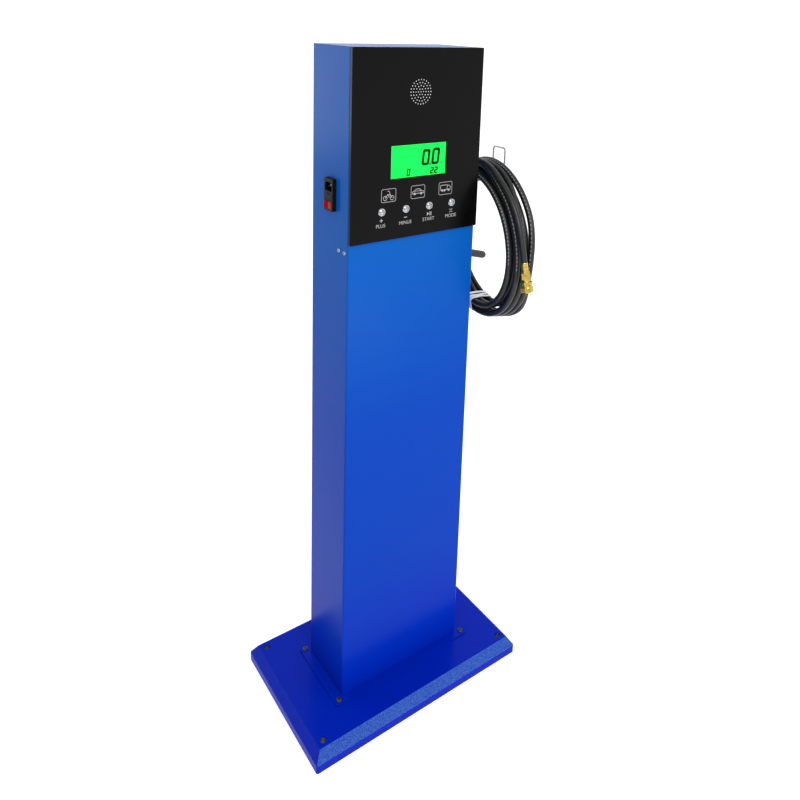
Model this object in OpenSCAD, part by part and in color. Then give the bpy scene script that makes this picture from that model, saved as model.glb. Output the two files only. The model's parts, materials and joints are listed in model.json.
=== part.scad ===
// Free-standing digital tyre inflator pedestal.
// Frame: origin on the floor under the middle of the base, +Z up, the display faces -Y, the hose is on +X.

/* [Base] */
// Width of the base at the floor
base_w = 494; // [460:2:520]
// Depth of the base at the floor
base_d = 310; // [290:10:340]
// Height of the base's top plate above the floor
base_h = 36; // [32:1:44]
// Height of the upright lip round the base
base_lip = 16.5; // [12:0.5:20]
// Width of the sloping band between lip and top plate
base_run = 13; // [8:1:16]
// Sheet thickness of the base
base_t = 2.5; // [2:0.5:4]
// Anchor hole spacing across the base
anchor_x = 440; // [410:5:450]
// Anchor hole spacing from front to back
anchor_y = 256; // [240:2:260]
// Diameter of the anchor holes
anchor_hole_d = 13; // [9:0.5:14]

/* [Column] */
// Width of the column
column_w = 290; // [286:1:300]
// Depth of the column
column_d = 136; // [134:1:140]
// Height of the column above the base's top plate
column_h = 1300; // [1290:5:1320]
// Sheet thickness of the column
sheet_t = 2; // [1.5:0.5:2]
// Outer radius of the column's upright folds
fold_r = 3; // [2.5:0.5:4]
// Width of the flange plate at the column's foot
flange_w = 330; // [326:1:340]
// Depth of the flange plate at the column's foot
flange_d = 168; // [164:1:172]
// Thickness of the flange plate
flange_t = 3; // [2:0.5:4]

/* [Head] */
// Height of the black front panel
fascia_h = 350; // [340:5:360]
// Thickness of the black front panel
fascia_t = 6; // [5:0.5:8]
// Width of the display window
lcd_w = 122.6; // [118:0.2:126]
// Height of the display window
lcd_h = 60; // [56:1:62]
// Distance between neighbouring push buttons
button_pitch = 53.2; // [48:0.2:56]
// Inward travel of a push button
button_travel = 1.2; // [0.8:0.1:1.3]
// Radius of the outermost ring of speaker holes
speaker_ring_r = 22.4; // [18:0.4:24]

/* [Power inlet] */
// Depth of the power module's bezel on the left side
inlet_bezel_t = 8; // [5:0.5:9]
// Height of the power module's bezel
inlet_h = 60; // [58:1:62]
// Width of the power module's bezel
inlet_w = 31; // [30:0.5:33]

/* [Hose] */
// Outer diameter of the rubber hose
hose_d = 13; // [12:0.5:13.5]
// Reach of the wire hook from the column's side
hook_reach = 98; // [92:1:98]
// Wire diameter of the hook
hook_wire_d = 4; // [4:0.5:5]
// Middle half-width of the coil, from front to back
coil_a = 116; // [110:1:120]
// Middle half-height of the coil
coil_b = 153; // [148:1:156]
// Lean of the coil's long axis
coil_lean = 18; // [14:1:20]

/* [Rear door] */
// Width of the rear door
door_w = 272; // [268:1:274]
// Thickness of the door sheet
door_t = 2; // [1.5:0.5:2.5]

/* [Hidden] */
$fn = 48;

blue = [0.04, 0.17, 0.68];
zinc = [0.72, 0.73, 0.75];
steel_dark = [0.15, 0.15, 0.16];
board_green = [0.05, 0.35, 0.15];

eps = 0.01;
half_w = column_w / 2;
half_d = column_d / 2;
top_z = base_h + column_h;
fascia_z = top_z - fascia_h;
front_y = -half_d - fascia_t;
inner_front_y = -half_d + sheet_t;
wall_x = half_w - sheet_t;

flange_screw_x = 155;
flange_screw_y = 74;

lcd_z = top_z - 206;
lcd_frame = 5;
speaker_z = top_z - 80;
speaker_hole_r = 1.1;
speaker_rings = [[1, 0], [6, 1], [12, 2], [18, 3], [24, 4]];
button_z = top_z - 295.5;
button_x = [for (i = [0:3]) (i - 1.5) * button_pitch];
thread_r = 5.9;
stem_r = 4.5;
running_gap = 0.06;
stud_at = [[-130, 20], [130, 20], [-130, 330], [130, 330]];

inlet_y = -8.5;
inlet_z = top_z - 268;
socket_z = 15;
fuse_z = -4;
rocker_z = -19.5;
rocker_tilt = 8;

side_screw_z = top_z - 367.5;
side_screw_y = [-55.8, -35.5];

plate_y = 10;
plate_t = 1.5;
plate_z = 690;
plate_h = 620;
line_y = 34;
tube_r = 4;
bend_r = 12;

hook_y = -23.5;
hook_half = 18;
hook_z = base_h + 1032.2;
hook_top_z = base_h + 1092.5;
hook_bend = 6;
hook_plate_t = 3;

peg_y = -45;
peg_z = base_h + 886;
peg_tilt = 16;
peg_l = 54;

outlet_z = base_h + 664;
outlet_x = half_w + 22;
hose_exit_z = outlet_z + 40;

coil_y = -38;
coil_z = base_h + 909;
coil_in = 20.6;
coil_out = 14;
coil_sag = 3;
coil_x0 = half_w + 23;
coil_x1 = half_w + 86;

door_z = 152;
door_h = 1166;
door_gap = 0.4;
door_open_w = 256;
hinge_x = 141;
hinge_y = 74.5;
hinge_r = 4.5;
hinge_pin_r = 2;
hinge_l = 20;
hinge_at = [260, 735, 1210];
lock_x = -106;
lock_z = 735;

end_tilt = 13.5;
tail_end = [180, -181, 932];
end_up = [0, sin(end_tilt), cos(end_tilt)];

// The hose from the outlet up to the coil, and from the coil down to its free end
lead_route = [
    [167, 34, 740], [167, 34, 752], [167, 34, 766], [167.5, 35, 800], [169, 38.5, 838], [172, 45, 868]
];
tail_route = [
    [182, 54, 1061], [182, 38, 1079], [182, 19, 1093], [182, -3, 1103], [181, -27, 1107],
    [181, -53, 1104], [180, -79, 1094], [180, -102, 1077], [180, -121, 1060], [180, -139, 1039],
    [180, -154, 1014], [180, -166, 986], tail_end + 25 * end_up, tail_end
];

// ---------- shared shapes ----------

// A rectangle with true round corners
module rounded_rect(w, d, r) {
    square([w, d - 2 * r], center = true);
    square([w - 2 * r, d], center = true);
    for (sx = [-1, 1], sy = [-1, 1])
        translate([sx * (w / 2 - r), sy * (d / 2 - r)]) circle(r = r);
}

// Children drawn in XY with their depth along +Z, stood up so that +Z points out of the front
module on_front(x, z) {
    translate([x, front_y, z]) rotate([90, 0, 0]) children();
}

// Children with +Z pointing out of the left side, their X along -Y
module on_left(y, z) {
    translate([-half_w, y, z]) rotate([90, 0, -90]) children();
}

// Children with +Z pointing out of the right side, their X along +Y
module on_right(y, z) {
    translate([half_w, y, z]) rotate([90, 0, 90]) children();
}

module hexagon(across, h) {
    cylinder(r = across / sqrt(3), h = h, $fn = 6);
}

module hex_nut(across, h, bore_r) {
    difference() {
        hexagon(across, h);
        translate([0, 0, -1]) cylinder(r = bore_r, h = h + 2);
    }
}

// A button-head screw: head above z = 0, shank below, hexagon recess
module button_head_screw(head_r, head_h, shank_r, shank_l, key) {
    difference() {
        union() {
            rotate_extrude() polygon([
                [0, 0], [head_r, 0], [head_r, head_h * 0.4], [head_r * 0.88, head_h * 0.75],
                [head_r * 0.6, head_h], [0, head_h]
            ]);
            translate([0, 0, -shank_l]) cylinder(r = shank_r, h = shank_l + eps);
        }
        translate([0, 0, head_h * 0.4]) hexagon(key, head_h);
    }
}

// ---------- a tube swept along a route ----------

function unit(v) = v / norm(v);

// A point of the smooth curve through four neighbouring route points
function spline(p, q, r, s, t) =
    0.5 * (2 * q + (r - p) * t + (2 * p - 5 * q + 4 * r - s) * t * t
    + (3 * q - p - 3 * r + s) * t * t * t);

function at(route, i) = route[max(0, min(len(route) - 1, i))];

function smooth(route, steps) = concat(
    [for (i = [0:len(route) - 2], k = [0:steps - 1])
        spline(at(route, i - 1), at(route, i), at(route, i + 1), at(route, i + 2), k / steps)],
    [route[len(route) - 1]]
);

function tangent(line, i) = unit(at(line, i + 1) - at(line, i - 1));

// One ring of the sweep, square to the line, kept upright by a fixed side vector
function ring(line, i, r, sides) =
    let (t = tangent(line, i), u = unit(cross(t, [1, 0, 0])), v = cross(t, u))
    [for (k = [0:sides - 1]) line[i] + r * (cos(360 * k / sides) * u + sin(360 * k / sides) * v)];

module sweep(line, r, sides) {
    rings = len(line);
    points = [for (i = [0:rings - 1]) each ring(line, i, r, sides)];
    walls = [
        for (i = [0:rings - 2], k = [0:sides - 1])
            let (a = i * sides + k, b = i * sides + (k + 1) % sides)
            each [[a, a + sides, b + sides], [a, b + sides, b]]
    ];
    ends = [
        [for (k = [0:sides - 1]) k],
        [for (k = [sides - 1:-1:0]) (rings - 1) * sides + k]
    ];
    polyhedron(points = points, faces = concat(walls, ends));
}

// A straight tube from one point to another along one axis
module pipe(from, to) {
    v = to - from;
    length = norm(v);
    translate(from) rotate([0, acos(v.z / length), atan2(v.y, v.x)]) cylinder(r = tube_r, h = length);
}

// A quarter bend in the XZ plane, its centre at the given point, starting at the given angle
module quarter_bend(centre, start) {
    translate(centre) rotate([90, 0, 0]) rotate([0, 0, start])
        rotate_extrude(angle = 90) translate([bend_r, 0]) circle(r = tube_r, $fn = 32);
}

// ---------- base ----------

module base_profile(w, lip, h) {
    polygon([
        [-w / 2, 0], [w / 2, 0], [w / 2, lip], [w / 2 - base_run, h],
        [-w / 2 + base_run, h], [-w / 2, lip]
    ]);
}

// A tray seen from above: upright lip, sloping band and flat top, with round upright corners
module base_form(w, d, lip, h, r) {
    intersection() {
        rotate([90, 0, 0]) linear_extrude(d, center = true) base_profile(w, lip, h);
        rotate([90, 0, 90]) linear_extrude(w, center = true) base_profile(d, lip, h);
        linear_extrude(h) rounded_rect(w, d, r);
    }
}

module anchor_places() {
    for (sx = [-1, 1], sy = [-1, 1]) translate([sx * anchor_x / 2, sy * anchor_y / 2, 0]) children();
}

module flange_screw_places() {
    for (sx = [-1, 1], sy = [-1, 1]) translate([sx * flange_screw_x, sy * flange_screw_y, 0]) children();
}

module base_plinth() {
    color(blue) difference() {
        base_form(base_w, base_d, base_lip, base_h, 4);
        translate([0, 0, -base_t])
            base_form(base_w - 2 * base_t, base_d - 2 * base_t, base_lip + 1, base_h, 2);
        anchor_places() cylinder(r = anchor_hole_d / 2, h = base_h + 1);
        flange_screw_places() cylinder(r = 3.3, h = base_h + 1);
    }
}

// Two bent channels that carry the column's foot down to the floor
module base_stiffeners() {
    channel_h = base_h - base_t;
    color(blue) for (sy = [-1, 1]) translate([0, sy * 52, 0]) difference() {
        translate([-200, -14, 0]) cube([400, 28, channel_h]);
        translate([-201, -14 + base_t, -1]) cube([402, 28 - 2 * base_t, channel_h - base_t + 1]);
    }
}

// Tubes between the top plate and the floor, so that the anchors don't crush the sheet
module anchor_tubes() {
    color(zinc) anchor_places() difference() {
        cylinder(r = 10, h = base_h - base_t);
        translate([0, 0, -1]) cylinder(r = anchor_hole_d / 2, h = base_h);
    }
}

module column_flange() {
    color(blue) difference() {
        translate([0, 0, base_h]) linear_extrude(flange_t) rounded_rect(flange_w, flange_d, 4);
        translate([0, 0, base_h - 1])
            linear_extrude(flange_t + 2) rounded_rect(column_w, column_d, fold_r);
        flange_screw_places() cylinder(r = 3.3, h = base_h + flange_t + 1);
    }
}

module flange_screws() {
    color(steel_dark) flange_screw_places() translate([0, 0, base_h + flange_t])
        button_head_screw(5.6, 3.3, 3, 16, 4);
}

module flange_nuts() {
    color(zinc) flange_screw_places() translate([0, 0, base_h - base_t - 5]) hex_nut(10, 5, 3.05);
}

// ---------- column ----------

module column_openings() {
    // Doorway in the back
    translate([-door_open_w / 2, half_d - sheet_t - 1, door_z + 8])
        cube([door_open_w, sheet_t + 2, door_h - 16]);
    // Behind the display, the speaker and the buttons
    translate([0, -half_d + sheet_t / 2, lcd_z])
        cube([lcd_w + 3, sheet_t + 2, lcd_h + 3], center = true);
    on_front(0, speaker_z) translate([0, 0, -fascia_t - sheet_t - 1]) cylinder(r = 24.5, h = sheet_t + 2);
    for (x = button_x) on_front(x, button_z)
        translate([0, 0, -fascia_t - sheet_t - 1]) cylinder(r = thread_r + 0.1, h = sheet_t + 2);
    for (p = stud_at) on_front(p.x, fascia_z + p.y)
        translate([0, 0, -fascia_t - sheet_t - 1]) cylinder(r = 2.2, h = sheet_t + 2);
    // Left side: power module and two small screws
    on_left(inlet_y, inlet_z) translate([0, 0, -sheet_t / 2]) cube([27.5, 56.5, sheet_t + 2], center = true);
    for (y = side_screw_y) on_left(y, side_screw_z)
        translate([0, 0, -sheet_t - 1]) cylinder(r = 2, h = sheet_t + 2);
    // Right side: hook screws, peg stud and air outlet
    for (dz = [-12, 12]) on_right(hook_y, hook_z + dz)
        translate([0, 0, -sheet_t - 1]) cylinder(r = 2.6, h = sheet_t + 2);
    on_right(peg_y, peg_z) translate([0, 0, -sheet_t - 1]) cylinder(r = 3.1, h = sheet_t + 2);
    on_right(line_y, outlet_z) translate([0, 0, -sheet_t - 1]) cylinder(r = 6.6, h = sheet_t + 2);
    // Back: air supply
    translate([-120, half_d + 1, 100]) rotate([90, 0, 0]) cylinder(r = 6.6, h = sheet_t + 2);
}

module column_shell() {
    color(blue) difference() {
        translate([0, 0, base_h]) linear_extrude(column_h) rounded_rect(column_w, column_d, fold_r);
        translate([0, 0, base_h - 1]) linear_extrude(column_h - sheet_t + 1)
            rounded_rect(column_w - 2 * sheet_t, column_d - 2 * sheet_t, fold_r - sheet_t);
        column_openings();
    }
}

// ---------- display and keys ----------

module speaker_places() {
    for (s = speaker_rings, k = [0:s[0] - 1])
        let (r = s[1] * speaker_ring_r / 4, a = 360 * k / s[0])
        translate([r * cos(a), r * sin(a), 0]) children();
}

module fascia_panel() {
    color([0.02, 0.02, 0.02]) difference() {
        on_front(0, fascia_z + fascia_h / 2) translate([0, 0, -fascia_t])
            linear_extrude(fascia_t) rounded_rect(column_w, fascia_h, 1.5);
        translate([0, front_y + fascia_t / 2, lcd_z]) cube([lcd_w, fascia_t + 2, lcd_h], center = true);
        on_front(0, speaker_z) translate([0, 0, -fascia_t - 1])
            speaker_places() cylinder(r = speaker_hole_r, h = fascia_t + 2, $fn = 16);
        for (x = button_x) on_front(x, button_z)
            translate([0, 0, -fascia_t - 1]) cylinder(r = thread_r + 0.1, h = fascia_t + 2);
    }
}

// Studs bonded to the back of the front panel, with their nuts
module fascia_studs() {
    color(zinc) for (p = stud_at) on_front(p.x, fascia_z + p.y) {
        translate([0, 0, -fascia_t - 14]) cylinder(r = 2, h = 14);
        translate([0, 0, -fascia_t - sheet_t - 3.2]) hexagon(7, 3.2);
    }
}

module lcd_window() {
    color([0.1, 0.9, 0.3]) translate([0, front_y + fascia_t / 2, lcd_z])
        cube([lcd_w, fascia_t, lcd_h], center = true);
}

module lcd_module() {
    rim_y = inner_front_y;
    color([0.8, 0.85, 0.8]) {
        translate([0, -half_d + 4.5, lcd_z]) cube([lcd_w + 1, 9, lcd_h + 1], center = true);
        translate([0, rim_y + 1.5, lcd_z])
            cube([lcd_w + 2 * lcd_frame, 3, lcd_h + 2 * lcd_frame], center = true);
    }
}

module speaker_driver() {
    color(steel_dark) on_front(0, speaker_z) translate([0, 0, -fascia_t]) {
        difference() {
            union() {
                translate([0, 0, -sheet_t - 2]) cylinder(r = 28, h = 2);
                translate([0, 0, -sheet_t - 12]) cylinder(r = 23, h = 12);
            }
            translate([0, 0, -sheet_t - 8]) cylinder(r = 21, h = 8 + sheet_t + 1);
        }
        translate([0, 0, -sheet_t - 20]) cylinder(r = 15, h = 8 + eps);
        translate([0, 0, -sheet_t - 8 - eps]) cylinder(r = 7, h = 3);
    }
}

// A domed cap on a round stem
module button_cap() {
    disc_r = 5.4;
    dome_r = 9;
    dome_drop = sqrt(dome_r * dome_r - disc_r * disc_r);
    translate([0, 0, 1.9]) cylinder(r = disc_r, h = 1);
    intersection() {
        translate([0, 0, 2.9 - dome_drop]) sphere(r = dome_r, $fn = 64);
        translate([0, 0, 2.8]) cylinder(r = disc_r, h = 5);
    }
    translate([0, 0, -15]) cylinder(r = stem_r, h = 17);
}

module key(i) {
    color([0.8, 0.81, 0.83]) on_front(button_x[i], button_z) button_cap();
}

module increase_button() {
    key(0);
}

module reduce_button() {
    key(1);
}

module start_button() {
    key(2);
}

module unit_button() {
    key(3);
}

// Flanged, threaded barrels that guide the caps
module button_barrels() {
    color([0.75, 0.76, 0.78]) for (x = button_x) on_front(x, button_z) rotate_extrude() polygon([
        [stem_r + running_gap, -14], [thread_r, -14], [thread_r, 0], [7.5, 0], [7.5, 1.2],
        [6.9, 2.2], [5.6, 2.2], [5.6, 0.5], [stem_r + running_gap, 0.5]
    ]);
}

module button_nuts() {
    color(zinc) for (x = button_x) on_front(x, button_z)
        translate([0, 0, -fascia_t - sheet_t - 2.5]) hex_nut(14, 2.5, thread_r);
}

// Switch strip behind the keys: a circuit board with one tact switch per key
module button_board() {
    on_front(0, button_z) {
        color(board_green) translate([0, 0, -21.6]) linear_extrude(1.6) rounded_rect(206, 24, 2);
        color(steel_dark) for (x = button_x) translate([x, 0, -20]) {
            translate([-3, -3, 0]) cube([6, 6, 2.4]);
            cylinder(r = 1.7, h = 3.5);
        }
    }
}

module main_board() {
    on_front(0, lcd_z) {
        color(board_green) translate([0, 0, -28]) linear_extrude(1.6) rounded_rect(170, 96, 3);
        color(steel_dark) {
            translate([-15, -15, -30]) cube([14, 14, 2]);
            translate([20, 10, -41]) cube([19, 15, 13]);
            translate([45, 10, -41]) cube([19, 15, 13]);
            for (k = [0:2]) translate([-78 + 22 * k, -42, -38]) cube([16, 8, 10]);
            for (k = [0:3]) translate([-55 + 12 * k, 25, -36]) cylinder(r = 4, h = 8);
        }
    }
}

module board_standoffs() {
    color([0.75, 0.6, 0.25]) {
        for (sx = [-1, 1], sz = [-1, 1]) on_front(sx * 80, lcd_z + sz * 43)
            translate([0, 0, -26.4]) hexagon(5.5, 26.4 - fascia_t - sheet_t);
        for (sx = [-1, 1]) on_front(sx * 98, button_z)
            translate([0, 0, -20]) hexagon(5.5, 20 - fascia_t - sheet_t);
    }
}

// Flat cable from the main board down to the switch strip
module ribbon_cable() {
    color([0.7, 0.7, 0.72]) {
        translate([-10, front_y + 21.6, button_z - 6]) cube([20, 1, 47]);
        translate([-10, front_y + 21.6, button_z + 40]) cube([20, 7.4, 1]);
        translate([-10, front_y + 28, button_z + 40]) cube([20, 1, 10]);
    }
}

// ---------- power inlet ----------

module power_inlet_housing() {
    color([0.03, 0.03, 0.03]) on_left(inlet_y, inlet_z) difference() {
        union() {
            linear_extrude(inlet_bezel_t) rounded_rect(inlet_w, inlet_h, 2);
            translate([-13.5, -28, -30]) cube([27, 56, 30 + eps]);
        }
        // Socket with its two clipped corners
        translate([0, socket_z, inlet_bezel_t - 15]) linear_extrude(16) polygon([
            [-12, -8.2], [12, -8.2], [12, 4], [7.5, 8.2], [-7.5, 8.2], [-12, 4]
        ]);
        // Fuse drawer pocket and the shallow seat of its front
        translate([-11.3, fuse_z - 5.3, inlet_bezel_t - 31]) cube([22.6, 10.6, 32]);
        translate([-12.3, fuse_z - 6.6, inlet_bezel_t - 1.6]) cube([24.6, 13.2, 2]);
        // Rocker pocket and pivot holes
        translate([-11.8, rocker_z - 6.6, inlet_bezel_t - 10]) cube([23.6, 13.2, 11]);
        translate([0, rocker_z, inlet_bezel_t - 2]) rotate([90, 0, 0])
            cylinder(r = 1.06, h = 15, center = true);
    }
}

module inlet_pins() {
    color(zinc) on_left(inlet_y, inlet_z) translate([0, socket_z, inlet_bezel_t - 15])
        for (p = [[-7, -1.5], [0, 2.5], [7, -1.5]]) translate([p.x - 1, p.y - 2, 0]) cube([2, 4, 9.5]);
}

module fuse_drawer() {
    color([0.05, 0.05, 0.05]) on_left(inlet_y, inlet_z) translate([0, fuse_z, inlet_bezel_t]) difference() {
        union() {
            translate([-12, -6.3, -1.5]) cube([24, 12.6, 1.5]);
            translate([-11, -5, -28]) cube([22, 10, 26.6]);
        }
        // Trough for the fuse, open at the top
        translate([-7, -3.2, -25]) cube([14, 9.2, 21.5]);
        // Finger notch in the front
        translate([-4, 4.6, -1.6]) cube([8, 2, 1.8]);
    }
}

module fuse_link() {
    color([0.8, 0.85, 0.85]) on_left(inlet_y, inlet_z)
        translate([0, fuse_z - 0.5, inlet_bezel_t - 24.5]) cylinder(r = 2.5, h = 20);
}

// The rocker rests with its front half pressed in, tilted about its upright pivot
module power_rocker() {
    color([0.85, 0.03, 0.03]) on_left(inlet_y, inlet_z)
        translate([0, rocker_z, inlet_bezel_t - 2]) rotate([0, rocker_tilt, 0]) rotate([90, 0, 0]) {
            linear_extrude(12.6, center = true)
                polygon([[-9.6, -3], [9.6, -3], [10.6, 4], [0, 2.6], [-10.6, 4]]);
            cylinder(r = 1, h = 14.4, center = true);
        }
}

module terminal_block() {
    color([0.85, 0.85, 0.8]) on_left(0, side_screw_z) difference() {
        union() {
            translate([25, -8, -14]) cube([40, 16, 12]);
            for (k = [0:3]) translate([28 + 9 * k, -5, -18]) cube([7, 10, 4]);
        }
        for (y = side_screw_y) translate([-y, 0, -15]) cylinder(r = 1.9, h = 14);
    }
}

module side_screws() {
    color(zinc) for (y = side_screw_y) on_left(y, side_screw_z) difference() {
        union() {
            rotate_extrude() polygon([[0, 0], [3.6, 0], [3.3, 1.3], [2.2, 2.1], [0, 2.4]]);
            translate([0, 0, -12]) cylinder(r = 1.85, h = 12 + eps);
        }
        for (a = [0, 90]) rotate([0, 0, a]) translate([-2, -0.4, 1.2]) cube([4, 0.8, 2]);
    }
}

// ---------- inside the column ----------

module mounting_plate() {
    color(zinc) {
        translate([-wall_x, plate_y, plate_z]) cube([2 * wall_x, plate_t, plate_h]);
        for (sx = [-1, 1]) translate([sx * (wall_x - plate_t / 2), plate_y + 6, plate_z + plate_h / 2])
            cube([plate_t, 12, plate_h], center = true);
    }
}

module power_supply() {
    color([0.75, 0.76, 0.77]) difference() {
        translate([-120, plate_y + plate_t, 1100]) cube([99, 36, 159]);
        for (k = [0:7]) translate([-108, plate_y + plate_t + 34, 1125 + 15 * k]) cube([75, 3, 5]);
        translate([-112, plate_y + plate_t + 8, 1099]) cube([83, 29, 14]);
    }
}

module valve_manifold() {
    color([0.78, 0.79, 0.81]) difference() {
        translate([10, plate_y + plate_t, 800]) cube([90, 40, 30]);
        translate([80, line_y, 799]) cylinder(r = tube_r, h = 11);
        translate([9, line_y, 815]) rotate([0, 90, 0]) cylinder(r = tube_r, h = 11);
    }
}

module solenoid_coils() {
    color([0.1, 0.1, 0.12]) for (x = [28, 68]) translate([x, line_y - 2, 830]) {
        cylinder(r = 6, h = 12);
        translate([-13, -15, 6]) cube([26, 30, 34]);
        translate([0, 0, 40]) cylinder(r = 5, h = 5);
    }
}

module pressure_sensor() {
    color([0.7, 0.71, 0.73]) translate([92, line_y - 2, 830]) {
        hexagon(13, 6);
        translate([0, 0, 6]) cylinder(r = 6.5, h = 20);
    }
}

module exhaust_muffler() {
    color([0.75, 0.6, 0.25]) translate([48, line_y, 800]) rotate([180, 0, 0]) {
        cylinder(r = 4, h = 6);
        translate([0, 0, 6]) cylinder(r = 6, h = 16);
    }
}

module air_filter() {
    color([0.75, 0.76, 0.78]) translate([-92, plate_y + plate_t, 700]) cube([44, 46, 28]);
    color([0.6, 0.7, 0.75]) {
        translate([-70, line_y, 640]) cylinder(r = 19, h = 60);
        translate([-70, line_y, 634]) cylinder(r = 5, h = 6);
    }
}

// Plastic air lines: supply to filter, filter to valves, valves to outlet
module air_tubes() {
    filter_z = 714;
    valve_z = 815;
    riser_x = -28 + bend_r;
    color([0.1, 0.3, 0.75]) {
        pipe([-120, line_y, 112], [-120, line_y, filter_z - bend_r]);
        quarter_bend([-120 + bend_r, line_y, filter_z - bend_r], 90);
        pipe([-120 + bend_r, line_y, filter_z], [-92, line_y, filter_z]);

        pipe([-48, line_y, filter_z], [riser_x - bend_r, line_y, filter_z]);
        quarter_bend([riser_x - bend_r, line_y, filter_z + bend_r], 270);
        pipe([riser_x, line_y, filter_z + bend_r], [riser_x, line_y, valve_z - bend_r]);
        quarter_bend([riser_x + bend_r, line_y, valve_z - bend_r], 90);
        pipe([riser_x + bend_r, line_y, valve_z], [20, line_y, valve_z]);

        pipe([80, line_y, outlet_z + bend_r], [80, line_y, 810]);
        quarter_bend([80 + bend_r, line_y, outlet_z + bend_r], 180);
        pipe([80 + bend_r, line_y, outlet_z], [half_w - 16, line_y, outlet_z]);
    }
}

// Bulkhead nipple low on the back, with an elbow inside
module supply_inlet() {
    color([0.8, 0.66, 0.3]) {
        translate([-120, half_d, 100]) rotate([-90, 0, 0]) {
            hexagon(17, 6);
            difference() {
                cylinder(r = 6.4, h = 24);
                translate([0, 0, 4]) cylinder(r = 3.5, h = 21);
            }
            translate([0, 0, -sheet_t - 5]) hexagon(19, 5);
            translate([0, 0, -half_d + line_y - 7]) cylinder(r = 6.4, h = half_d - line_y + 8);
        }
        translate([-120, line_y, 93]) cylinder(r = 7, h = 19);
    }
}

// ---------- air outlet on the right side ----------

module outlet_elbow() {
    color([0.75, 0.76, 0.78]) {
        on_right(line_y, outlet_z) {
            hexagon(19, 5);
            cylinder(r = 7.5, h = 16);
            translate([0, 0, -16]) cylinder(r = 6.5, h = 17);
        }
        translate([outlet_x - 9, line_y - 9, outlet_z - 9]) cube([18, 18, 18]);
        translate([outlet_x, line_y, outlet_z + 8]) cylinder(r = 6, h = 8);
    }
}

module outlet_nut() {
    color(zinc) on_right(line_y, outlet_z) translate([0, 0, -sheet_t - 5]) hex_nut(19, 5, 6.5);
}

module outlet_ferrule() {
    color([0.75, 0.76, 0.78]) translate([outlet_x, line_y, outlet_z + 16]) rotate_extrude() polygon([
        [0, 0], [7.8, 0], [7.8, 6], [7.4, 7], [7.8, 8], [7.8, 14], [7.4, 15], [7.8, 16],
        [7.8, 22], [7.2, 24], [0, 24]
    ]);
}

// ---------- rear door ----------

module rear_door() {
    inner_w = door_open_w - 8;
    inner_h = door_h - 24;
    door_y = half_d + door_gap;
    color(blue) difference() {
        union() {
            translate([-door_w / 2 - 2, door_y, door_z]) cube([door_w, door_t, door_h]);
            translate([-inner_w / 2, door_y - 5, door_z + 12]) cube([inner_w, 5 + eps, inner_h]);
        }
        translate([-inner_w / 2 + 1.5, door_y - 6, door_z + 13.5])
            cube([inner_w - 3, 6, inner_h - 3]);
        // Ventilation slots at the top and at the bottom
        for (z = [door_z + 70, door_z + door_h - 130], k = [0:4])
            translate([-60, door_y - 1, z + 12 * k]) cube([120, door_t + 2, 4]);
        translate([lock_x, door_y - 1, lock_z]) rotate([-90, 0, 0]) cylinder(r = 9.6, h = door_t + 2);
    }
}

// Lower hinge halves with their pins, welded to the column
module hinge_posts() {
    color(blue) for (z = hinge_at) translate([hinge_x, hinge_y, z]) {
        translate([0, 0, -hinge_l]) cylinder(r = hinge_r, h = hinge_l - 0.2);
        translate([0, 0, -1]) cylinder(r = hinge_pin_r, h = hinge_l - 1);
        translate([-3, half_d - hinge_y, -hinge_l]) cube([6, hinge_y - half_d, hinge_l - 0.2]);
    }
}

// Upper hinge halves, welded to the door
module hinge_sleeves() {
    color(blue) for (z = hinge_at) translate([hinge_x, hinge_y, z]) difference() {
        union() {
            cylinder(r = hinge_r, h = hinge_l);
            translate([-16, half_d + door_gap + door_t - hinge_y, 0]) cube([16, 3, hinge_l]);
        }
        translate([0, 0, -1]) cylinder(r = hinge_pin_r + 0.05, h = hinge_l + 2);
    }
}

module on_lock() {
    translate([lock_x, half_d + door_gap + door_t, lock_z]) rotate([-90, 0, 0]) children();
}

module lock_housing() {
    color(zinc) on_lock() difference() {
        union() {
            cylinder(r = 11.5, h = 2);
            translate([0, 0, 2]) cylinder(r = 10.5, h = 1);
            translate([0, 0, -9]) cylinder(r = 9.5, h = 9 + eps);
        }
        translate([0, 0, -10]) cylinder(r = 6.06, h = 14);
    }
}

module lock_nut() {
    color(zinc) on_lock() translate([0, 0, -door_t - 3]) difference() {
        hexagon(22, 3);
        translate([0, 0, -1]) cylinder(r = 9.5, h = 5);
    }
}

module lock_plug() {
    color([0.82, 0.83, 0.85]) on_lock() difference() {
        union() {
            translate([0, 0, -9.5]) cylinder(r = 6, h = 12.5);
            translate([-3, -3, -12.5]) cube([6, 6, 3 + eps]);
        }
        translate([-0.6, -4, 0]) cube([1.2, 8, 4]);
    }
}

// The cam hangs down in the open position
module lock_cam() {
    color(zinc) on_lock() translate([0, 0, -11.5]) difference() {
        linear_extrude(2) {
            circle(r = 7);
            translate([-6, 0]) square([12, 22]);
            translate([0, 22]) circle(r = 6);
        }
        translate([-3, -3, -1]) cube([6, 6, 4]);
    }
}

// ---------- hook and peg ----------

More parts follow.
